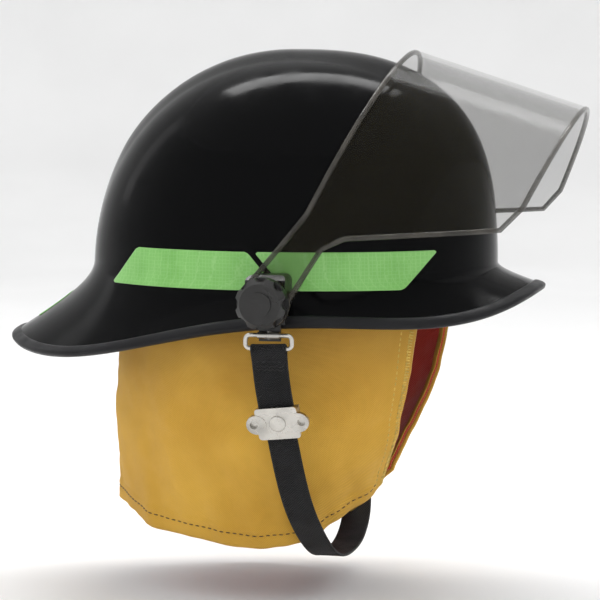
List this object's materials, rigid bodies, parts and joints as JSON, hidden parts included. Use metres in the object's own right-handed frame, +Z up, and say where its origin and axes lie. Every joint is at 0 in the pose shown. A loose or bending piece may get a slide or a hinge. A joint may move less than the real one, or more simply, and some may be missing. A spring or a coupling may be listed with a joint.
{
  "type": "firefighter helmet",
  "caption": "Structural fire helmet: brimmed hard shell, flip-down faceshield, ear and neck cover, chin strap and ratchet head suspension.",
  "frame": {"origin": "centre of the head opening, at the lower edge of the headband", "axes": "+X towards the wearer's front, +Y towards the wearer's left, +Z up through the crown"},
  "size_m": [0.3951, 0.293, 0.3408],
  "materials": {
    "shell_black": "high gloss moulded composite shell",
    "trim_rubber": "satin extruded edging",
    "reflective_lime": "fluorescent prismatic film",
    "foam_grey": "moulded urethane foam",
    "cap_black": "satin thermoplastic",
    "band_grey": "moulded nylon",
    "pad_cloth": "flame resistant knit over foam",
    "strap_webbing": "woven aramid webbing",
    "crown_webbing": "woven nylon tape",
    "hardware_plastic": "moulded glass-filled nylon",
    "bright_steel": "nickel plated",
    "dark_steel": "black oxide",
    "washer_polymer": "acetal",
    "shield_smoke": "smoke tinted polycarbonate",
    "cover_yellow": "golden aramid twill",
    "cover_red": "red flannel lining",
    "tape_black": "hook tape"
  },
  "bodies": {
    "helmet": {"outer_shell": "shell_black", "brim_edge_trim": "trim_rubber", "reflective_rear_right": "reflective_lime", "reflective_rear_left": "reflective_lime", "reflective_front_right": "reflective_lime", "reflective_front_left": "reflective_lime", "reflective_nape": "reflective_lime", "impact_foam_liner": "foam_grey", "inner_cap": "cap_black", "headband": "band_grey", "brow_pad": "pad_cloth", "nape_pad": "pad_cloth", "crown_strap_across": "crown_webbing", "crown_strap_right": "crown_webbing", "crown_strap_left": "crown_webbing", "crown_strap_keys": "cap_black", "crown_pad": "pad_cloth", "headband_hangers": "band_grey", "ratchet_housing": "hardware_plastic", "ratchet_plate": "hardware_plastic", "visor_bracket_right": "hardware_plastic", "visor_bracket_left": "hardware_plastic", "bracket_screws": "dark_steel", "bracket_nuts": "bright_steel", "pivot_stud_right": "bright_steel", "pivot_stud_left": "bright_steel", "friction_washer_right": "washer_polymer", "friction_washer_left": "washer_polymer", "ear_cover_outer": "cover_yellow", "ear_cover_lining": "cover_red", "cover_hook_tape": "tape_black", "hang_ring_bracket": "bright_steel"},
    "shield": {"faceshield": "shield_smoke"},
    "knob_right": {"visor_knob_right": "hardware_plastic"},
    "knob_left": {"visor_knob_left": "hardware_plastic"},
    "dial": {"ratchet_dial": "hardware_plastic", "ratchet_pinion": "washer_polymer"},
    "rack_left": {"rack_left": "band_grey"},
    "rack_right": {"rack_right": "band_grey"},
    "chin_strap": {"strap_swivel_right": "bright_steel", "strap_swivel_left": "bright_steel", "strap_ring_right": "bright_steel", "strap_ring_left": "bright_steel", "chin_strap_upper_right": "strap_webbing", "chin_strap_upper_left": "strap_webbing", "chin_strap_lower": "strap_webbing", "buckle_housing": "hardware_plastic", "buckle_plug": "hardware_plastic"},
    "slide": {"postman_slide": "bright_steel"},
    "arm_front": {"buckle_arm_front": "hardware_plastic"},
    "arm_rear": {"buckle_arm_rear": "hardware_plastic"},
    "hang_ring": {"hang_ring": "bright_steel"}
  },
  "joints": [
    {"name": "visor_tilt", "type": "hinge", "parent": "helmet", "child": "shield", "pos_m": [0.009, 0, 0.021], "axis": [0, 1, 0], "range_deg": [-10, 65]},
    {"name": "knob_right_turn", "type": "hinge", "parent": "helmet", "child": "knob_right", "pos_m": [0.009, -0.14, 0.021], "axis": [0, -1, 0], "range_deg": [-20, 180]},
    {"name": "knob_left_turn", "type": "hinge", "parent": "helmet", "child": "knob_left", "pos_m": [0.009, 0.14, 0.021], "axis": [0, 1, 0], "range_deg": [-20, 180]},
    {"name": "dial_turn", "type": "hinge", "parent": "helmet", "child": "dial", "pos_m": [-0.1, 0, 0.012], "axis": [-1, 0, 0], "range_deg": [-110, 110]},
    {"name": "rack_left_slide", "type": "slide", "parent": "helmet", "child": "rack_left", "axis": [0, 1, 0], "range_m": [-0.0097, 0.0097]},
    {"name": "rack_right_slide", "type": "slide", "parent": "helmet", "child": "rack_right", "axis": [0, -1, 0], "range_m": [-0.0097, 0.0097]},
    {"name": "strap_swing", "type": "hinge", "parent": "helmet", "child": "chin_strap", "pos_m": [0.012, 0, 0.0005], "axis": [0, 1, 0], "range_deg": [-30, 0]},
    {"name": "slide_travel", "type": "slide", "parent": "chin_strap", "child": "slide", "axis": [-0.1062, -0.3152, 0.9431], "range_m": [-0.007, 0.007]},
    {"name": "buckle_press_front", "type": "slide", "parent": "chin_strap", "child": "arm_front", "axis": [-0.9946, -0.0358, -0.0974], "range_m": [0, 0.003], "stiffness_N_per_m": 1200},
    {"name": "buckle_press_rear", "type": "slide", "parent": "chin_strap", "child": "arm_rear", "axis": [0.9946, 0.0358, 0.0974], "range_m": [0, 0.003], "stiffness_N_per_m": 1200},
    {"name": "hang_ring_swing", "type": "hinge", "parent": "helmet", "child": "hang_ring", "pos_m": [-0.158, 0, 0.0022], "axis": [0, 1, 0], "range_deg": [0, 135]}
  ],
  "couplings": [
    {"joint": "rack_left_slide", "follows": "dial_turn", "m_per_rad": 0.005},
    {"joint": "rack_right_slide", "follows": "dial_turn", "m_per_rad": 0.005}
  ]
}
